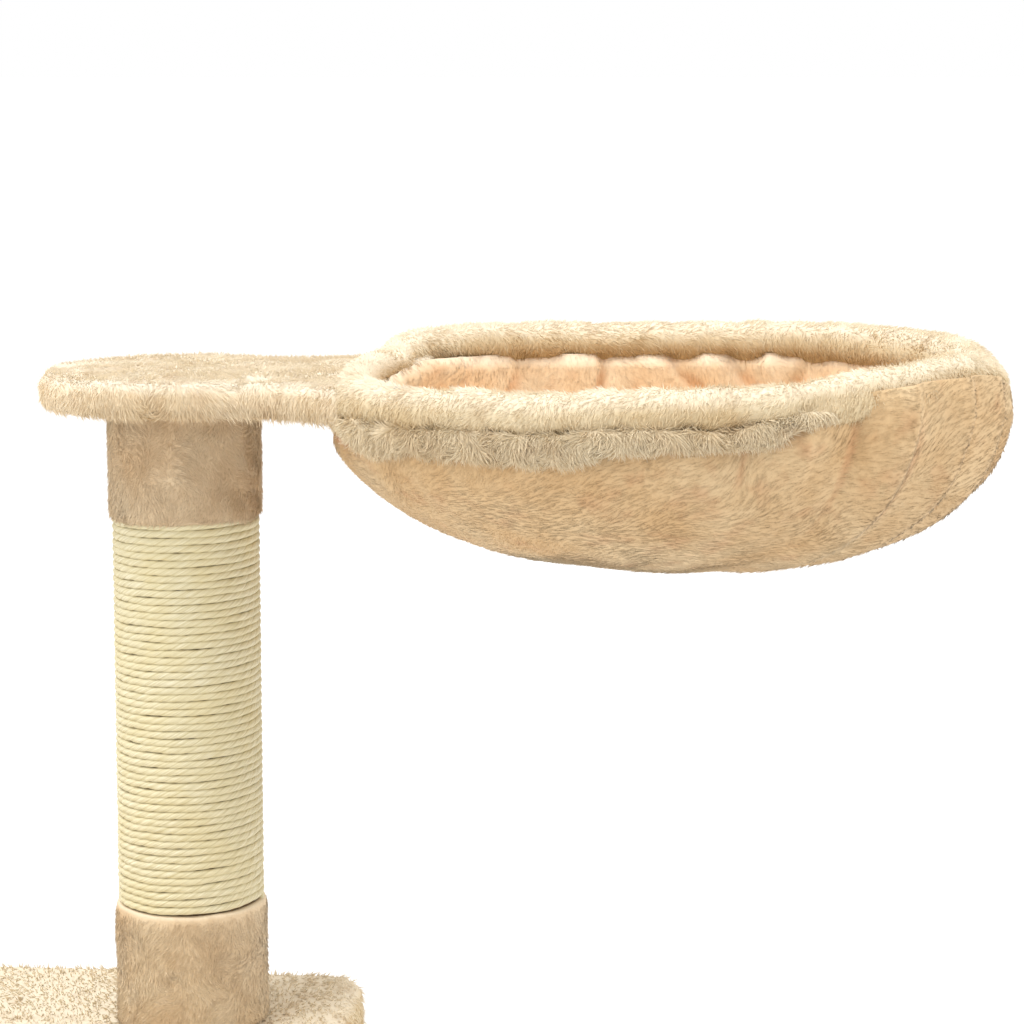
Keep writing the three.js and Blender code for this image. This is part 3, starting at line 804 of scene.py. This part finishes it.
def make_frill(material):
    """The loose edge of the cloth that hangs out under the roll along the front."""
    bm = bmesh.new()
    stand = (Matrix.Rotation(math.radians(FRILL_START), 4, "Z")
             @ Matrix.Translation((1, 0, 0)) @ Matrix.Rotation(TURN / 4, 4, "X"))
    bmesh.ops.create_circle(bm, segments=16, radius=0.1, matrix=stand)
    bmesh.ops.spin(bm, geom=bm.verts[:] + bm.edges[:], cent=(0, 0, 0), axis=UP,
                   angle=math.radians(FRILL_END - FRILL_START), steps=150)
    bmesh.ops.holes_fill(bm, edges=[e for e in bm.edges if e.is_boundary], sides=16)
    for v in bm.verts:
        angle = math.degrees(math.atan2(v.co.y, v.co.x)) % 360
        out = Vector((v.co.x, v.co.y, 0))
        side = math.atan2(v.co.z, out.length - 1)
        share = (angle - FRILL_START) / (FRILL_END - FRILL_START)
        taper = ease(share / 0.1) * ease((1 - share) / 0.14)
        spot = Vector((math.cos(math.radians(angle)), math.sin(math.radians(angle)), 0)) * 0.16
        top = round_ring(angle, SEAM_LEVEL) + 1.5 + 2.2 * uneven(spot, 15 * MM, 10)
        low = round_ring(angle, FRILL_EDGE)
        lump = uneven(spot, 9 * MM, 8)
        low += 1.6 * lump
        half = (top - low) / 2 * (0.25 + 0.75 * taper)
        thick = (2.7 + 1.3 * uneven(spot, 13 * MM, 9)) * (0.3 + 0.7 * taper)
        reach = RING_RADIUS + (9.2 + 1.2 * lump) * MM + thick * MM * math.cos(side)
        level = RIM_Z + rim_sag(angle) + ((top + low) / 2 + half * math.sin(side)) * MM
        v.co = Vector((RING.x, RING.y, 0)) + out.normalized() * reach
        v.co.z = level
    point_outwards(bm)
    frill = piece("rim_frill", bm)
    ready_cloth(frill)
    # painted light: the frill, which hangs under the roll, made paler all over
    store(frill, "painted_light", [0.35] * len(frill.data.vertices))

    def down(point, normal):
        out = Vector((point.x - RING.x, point.y - RING.y, 0)).normalized()
        return Vector((0, 0, -1)) + out * 0.25

    brush(frill, down, wander=1.0, size=8 * MM, seed=5)
    strands = grow_pile(frill, "rim_frill_pile", 15000, 5.4 * MM, 0.6 * MM, 0.4, 51,
                        scatter=0.45, bend=1.0 * MM, segments=2)
    settle(frill, HAMMOCK_BODY, "cream_plush", material)
    settle(strands, HAMMOCK_BODY, "cream_plush", material)


# folds of the bowl's cloth: angle, width, height in millimetres, how far down, slant in degrees
FRONT_FOLDS = [
    (228, 4, 2.0, 0.5, 12), (241, 3, -2.2, 0.35, 10), (252, 4, 2.0, 0.45, 8),
    (264, 5, 2.0, 0.35, 4), (272, 2.2, -3.4, 0.3, -6), (281, 4.5, 2.6, 0.4, -6),
    (288, 2.6, -3.6, 0.36, -8), (297, 5, 3.0, 0.6, -10), (306, 2.6, -2.6, 0.6, -10),
    (315, 6.5, 8.5, 0.95, -10), (329, 5.5, 8.0, 0.95, -10), (341, 5, 7.0, 0.9, -10),
    (352, 4, 4.0, 0.7, -8),
]
STEEP_SIDE = 0.4  # a fold's steep side against its long side
CLOTH_RINGS = 40
CLOTH_COLUMNS = 432


def scattered_folds(seed, start, end, spacing, height):
    """Folds at uneven places along a stretch of the ring."""
    draw = random.Random(seed)
    folds = []
    angle = start
    while angle < end:
        folds.append((angle, draw.uniform(2.2, 4.5), height * draw.uniform(0.5, 1.2),
                      draw.uniform(0.25, 0.6), draw.uniform(-10, 30)))
        angle += spacing * draw.uniform(0.6, 1.4)
    return folds


BACK_FOLDS = scattered_folds(6, 362, 575, 11, 3.0)
LINING_FOLDS = [
    (62, 3.4, -3.4, 0.5, 40), (70.4, 3.2, 3.8, 0.55, -20), (78.5, 3.4, -4.0, 0.5, -40),
    (84, 4, 3.2, 0.5, -20), (91, 2.8, -3.6, 0.5, -40), (97, 4, 2.6, 0.5, -10),
    (105.6, 2.2, -4.6, 0.75, 10), (113, 6, 4.4, 0.5, 8), (124, 3.4, -4.0, 0.5, 22),
    (132, 5, 3.8, 0.5, 14), (141, 3, -4.2, 0.5, 36), (149, 5, 3.2, 0.5, 10), (157, 3.2, -3.2, 0.5, 10),
] + scattered_folds(9, 170, 405, 12, 3.0)


def fold_height(angle, share, folds):
    """How far folds lift the cloth at an angle, share of the way from the rim to the bottom."""
    total = 0.0
    for at, width, height, reach, slant in folds:
        off = angle_from(angle, at + slant * share)
        if abs(off) < 4 * width and share < reach:
            wide = width if off < 0 else width * STEEP_SIDE
            total += height * math.exp(-(off / wide) ** 2) * (1 - share / reach) ** 1.2
    return total * MM


def disc(rows, columns):
    """A flat disc of cloth one unit in radius: rings of faces round a closed middle."""
    bm = bmesh.new()
    ends = [bm.verts.new((0, 0, 0)), bm.verts.new((1, 0, 0))]
    bmesh.ops.subdivide_edges(bm, edges=[bm.edges.new(ends)], cuts=rows - 1)
    bmesh.ops.spin(bm, geom=bm.verts[:] + bm.edges[:], cent=(0, 0, 0), axis=UP,
                   angle=TURN, steps=columns, use_merge=True)
    bmesh.ops.remove_doubles(bm, verts=bm.verts, dist=1e-5)
    return bm


# depth below the roll's centre where the outer cloth starts, in millimetres
OUTER_TOP = [(0, 1), (40, 5), (140, 6), (152, 17), (208, 17), (220, 6), (288, 5), (300, -3),
             (318, -4.5), (338, -2.5)]
EDGE_ZONE = 12 * MM


def bowl_place(angle, share, inset):
    """Radius, depth and outward direction of the bowl's cloth at an angle and share."""
    side = math.cos(math.radians(angle))
    fullness = 2.3 + 0.3 * max(0, side)
    widest = BOWL_RADIUS + (5.5 * MM * max(0, side) + 1 * MM * max(0, -side)) - inset
    sweep = share * TURN / 4
    radius = widest * max(0, math.cos(sweep)) ** (2 / fullness)
    depth = (BOWL_DEPTH - inset) * math.sin(sweep) ** (2 / fullness)
    heading = Vector((side, math.sin(math.radians(angle)), 0))
    outward = heading * math.cos(sweep) - UP * math.sin(sweep)
    return radius, depth, heading, outward


def shape_bowl(bm, inset, top, folds, pull, easing, snug=0.0):
    """Moves a flat disc of cloth to where the bowl hangs."""
    for v in bm.verts:
        share = max(0, 1 - v.co.xy.length)
        angle = math.degrees(math.atan2(v.co.y, v.co.x)) % 360
        radius, depth, heading, outward = bowl_place(angle, share, inset)
        start = round_ring(angle, top) * MM
        if depth < EDGE_ZONE or start > depth:
            zone = max(EDGE_ZONE, start + 4 * MM)
            depth = start + (zone - start) * min(1, depth / zone)
        from_edge = depth - start
        over_roll = snug * ease(1.6 - abs(angle_from(angle, 330)) / 24)
        radius += (over_roll - pull) * ease(1 - from_edge / easing)
        hang = 1 - ease(depth / (55 * MM))
        co = Vector((RING.x, RING.y, RIM_Z - depth + rim_sag(angle) * hang)) + heading * radius
        co += outward * fold_height(angle, share, folds) * (0.25 + 0.75 * ease(from_edge / (16 * MM)))
        co += outward * 1.2 * MM * uneven(co, 38 * MM, 3) * ease(share * 6)
        v.co = co


def make_outer_bowl(material):
    bm = disc(CLOTH_RINGS, CLOTH_COLUMNS)
    shape_bowl(bm, PILE_STAND, OUTER_TOP, FRONT_FOLDS + BACK_FOLDS, 3.4 * MM, 16 * MM, 5 * MM)
    bmesh.ops.reverse_faces(bm, faces=bm.faces)
    bowl = piece("hammock_outer", bm)
    face_out(bowl, outside=True)
    ready_cloth(bowl, 20 * MM)

    def sideways(point, normal):
        out = Vector((point.x - RING.x, point.y - RING.y, 0)).normalized()
        return out.cross(UP) + Vector((0, 0, -0.35))

    brush(bowl, sideways, wander=0.55, size=26 * MM, seed=6)
    strands = grow_pile(bowl, "hammock_outer_pile", 49500, 4.2 * MM, 0.55 * MM, 0.08, 61,
                        scatter=0.16, own_share=0.4)
    thicken(bowl, 1.4 * MM)
    settle(bowl, HAMMOCK_BODY, "cream_plush", material, "hammock_outer_bowl")
    settle(strands, HAMMOCK_BODY, "cream_plush", material)


LINING_TOP = [(0, 4.5), (135, 4.5), (155, 0), (205, 0), (225, 4.5)]


def make_lining(material):
    bm = disc(CLOTH_RINGS, CLOTH_COLUMNS)
    shape_bowl(bm, 6 * MM, LINING_TOP, [], 12.5 * MM, 46 * MM)
    for v in bm.verts:
        angle = ring_angle(v.co)
        out = Vector((v.co.x - RING.x, v.co.y - RING.y, 0))
        share = ease((RIM_Z - v.co.z - 5 * MM) / BOWL_DEPTH)
        inward = -out.normalized() if out.length > 1e-6 else Vector()
        below_edge = RIM_Z + rim_sag(angle) - v.co.z - round_ring(angle, LINING_TOP) * MM
        tuck = 4.5 * MM * ease(1 - below_edge / (6 * MM))
        over_lip = 13 * MM * at_platform(angle, 130, 230, 14) * ease(1 - below_edge / (46 * MM))
        v.co += inward * (fold_height(angle, share, LINING_FOLDS) + over_lip - tuck)
    lining = piece("hammock_lining_cloth", bm)
    face_out(lining, outside=False)
    ready_cloth(lining, 6 * MM)
    brush(lining, lambda p, n: (0, 0, -1), wander=0.8, size=24 * MM, seed=7)
    strands = grow_pile(lining, "hammock_lining_pile", 46000, 3.4 * MM, 0.5 * MM, 0.1, 71,
                        scatter=0.2, own_share=0.4)
    thicken(lining, 1.4 * MM)
    settle(lining, HAMMOCK_BODY, "apricot_plush", material, "hammock_lining")
    settle(strands, HAMMOCK_BODY, "apricot_plush", material)


def face_out(obj, outside):
    """Turns a bowl's faces to its outside or its inside."""
    middle = Vector((RING.x, RING.y, RIM_Z))
    score = sum((f.center - middle).dot(f.normal) for f in obj.data.polygons)
    if (score > 0) != outside:
        obj.data.flip_normals()


# ---- materials of the pieces that stay as they are ----

def chipboard():
    s = Shader("particle_board", 0.85)
    chips = s.node("ShaderNodeTexVoronoi")
    chips.inputs["Scale"].default_value = 420
    s.link(s.place, chips.inputs["Vector"])
    tones = s.mix(s.spread(chips.outputs["Distance"], 0.1, 0.7), colour("b08a5c"), colour("d3b17f"))
    dark = s.spread(s.noise(700, 2), 0.55, 0.75, 0, 0.6)
    s.bump(chips.outputs["Distance"], 0.3, 0.3 * MM)
    return s.finish(s.mix(dark, tones, colour("7e5d38")))


def plywood():
    s = Shader("plywood", 0.75)
    layers = s.node("ShaderNodeTexWave", wave_type="BANDS", bands_direction="Z")
    layers.inputs["Scale"].default_value = 130
    layers.inputs["Distortion"].default_value = 0.4
    s.link(s.place, layers.inputs["Vector"])
    base = s.mix(s.spread(layers.outputs["Fac"], 0.3, 0.7), colour("c49b66"), colour("dcb985"))
    grain = s.noise(1.0, 4, s.stretched((14, 260, 260)))
    s.bump(grain, 0.3, 0.3 * MM)
    return s.finish(s.mix(s.spread(grain, 0.4, 0.75, 0, 0.45), base, colour("96703f")))


def cardboard():
    s = Shader("cardboard", 0.9)
    wound = s.noise(1.0, 3, s.stretched((60, 60, 420)))
    s.bump(wound, 0.2, 0.2 * MM)
    return s.finish(s.mix(s.spread(wound, 0.35, 0.7), colour("8d6b45"), colour("b08f66")))


def metal(name, dull, bright, scale, roughness):
    s = Shader(name, roughness, metallic=1.0)
    drawn = s.noise(1.0, 3, s.stretched(scale))
    s.bump(drawn, 0.15, 0.1 * MM)
    return s.finish(s.mix(s.spread(drawn, 0.35, 0.7), colour(dull), colour(bright)))


def finish_frame_nodes():
    """Gives each CAD piece that stays its own material, by its slot in the record."""
    looks = {
        "particle_board": chipboard(),
        "plywood": plywood(),
        "cardboard": cardboard(),
        "zinc_steel": metal("zinc_steel", "9a9da1", "c6c9cd", (300, 300, 300), 0.38),
        "wire": metal("wire", "7d8084", "b4b7bb", (90, 90, 900), 0.3),
    }
    for part in frame["record"]["subparts"]:
        look = looks.get(part["material_slot"])
        if look:
            for place in frame["nodes"][part["node"]].material_slots:
                place.material = look


# ---- camera, light and floor ----

def add_camera():
    """The camera: from the front, a little right of the post and above the hammock."""
    data = bpy.data.cameras.new("camera")
    data.lens = 105.4
    data.sensor_width = 36
    data.shift_x = -0.06
    data.shift_y = -0.16
    camera = bpy.data.objects.new("camera", data)
    camera.location = (POST.x + 0.3131, POST.y - 1.3928, BASE_HIGH.z + 0.4761)
    yaw, pitch, roll = (math.radians(a) for a in (5.217, 6.063, -0.076))
    forward = Vector((-math.sin(yaw) * math.cos(pitch), math.cos(yaw) * math.cos(pitch),
                      -math.sin(pitch)))
    camera.rotation_mode = "QUATERNION"
    camera.rotation_quaternion = (forward.to_track_quat("-Z", "Y")
                                  @ Matrix.Rotation(roll, 3, "Z").to_quaternion())
    bpy.context.scene.collection.objects.link(camera)
    bpy.context.scene.camera = camera


def add_light(name, place, aim, size, energy, tint):
    data = bpy.data.lights.new(name, "AREA")
    data.shape = "DISK"
    data.size = size
    data.energy = energy
    data.color = tint
    light = bpy.data.objects.new(name, data)
    light.location = place
    light.rotation_mode = "QUATERNION"
    light.rotation_quaternion = (Vector(aim) - Vector(place)).to_track_quat("-Z", "Y")
    bpy.context.scene.collection.objects.link(light)


def add_floor():
    bm = bmesh.new()
    bmesh.ops.create_grid(bm, x_segments=1, y_segments=1, size=30)
    floor = piece("floor", bm)
    s = Shader("pale_floor", 0.9)
    s.set("Specular IOR Level", 0.0)
    s.set("Emission Color", (1, 1, 1, 1))
    s.set("Emission Strength", 0.95)
    tone = s.mix(s.spread(s.noise(2, 2), 0.3, 0.7), (0.2, 0.2, 0.2, 1), (0.22, 0.22, 0.22, 1))
    floor.data.materials.append(s.finish(tone))


def add_studio():
    """An even white studio: a large soft light above, and smaller ones at the left front and right."""
    world = bpy.data.worlds.new("studio")
    bpy.context.scene.world = world
    world.use_nodes = True
    sky = world.node_tree.nodes["Background"]
    sky.inputs["Color"].default_value = (1, 1, 1, 1)
    seen = world.node_tree.nodes.new("ShaderNodeLightPath")
    strength = world.node_tree.nodes.new("ShaderNodeMapRange")
    strength.inputs["To Min"].default_value = 0.8
    strength.inputs["To Max"].default_value = 1.0
    world.node_tree.links.new(seen.outputs["Is Camera Ray"], strength.inputs["Value"])
    world.node_tree.links.new(strength.outputs["Result"], sky.inputs["Strength"])
    aim = (RING.x - 0.1, RING.y, RIM_Z - 0.05)
    add_light("top_light", (-0.6, -0.5, 2.5), aim, 1.2, 42, (0.97, 0.985, 1))
    add_light("front_light", (-1.7, -1.9, 1.0), aim, 0.8, 13, (1, 0.985, 0.96))
    add_light("right_light", (2.0, -0.3, 1.4), aim, 0.8, 17, (1, 0.99, 0.97))
    bpy.context.scene.view_settings.view_transform = "Standard"


add_camera()
add_floor()
add_studio()
finish_frame_nodes()

# each plush: pale and deep pile colours, the warm colour of its painted shade in hollows, and the
# paler colour of its painted light where it faces up
cream = plush("cream_plush", "e6d5b4", "dac39b", "bb9868", "f3e7d0")
# painted shade: the bowl's outer side is the same cream plush, in a darker, more saturated copy
shaded_bowl_cream = plush("shaded_cream_plush_bowl", "dfc298", "d2ae80", "bd8058", "eedcbc")
platform_cream = plush("platform_plush", "f2e1c4", "e6d1ae", "cba87c", "f3e8d4")
tan = plush("tan_plush", "ead3b1", "dbbd97", "ab8558", "eddcbf")
apricot = plush("apricot_plush", "fbe0bc", "f5d1a6", "dd9f6b", "fbe8cf")

make_base_cover(cream)
make_rope(sisal())
make_collar("upper_collar", "upper_plush_collar", tan, 11, 2.0 * MM, 0.0)
make_collar("lower_collar", "lower_plush_collar", tan, 12, 0.0, 2.0 * MM)
make_platform_cover(platform_cream)
make_rim_roll(cream)
make_frill(cream)
make_outer_bowl(shaded_bowl_cream)
make_lining(apricot)
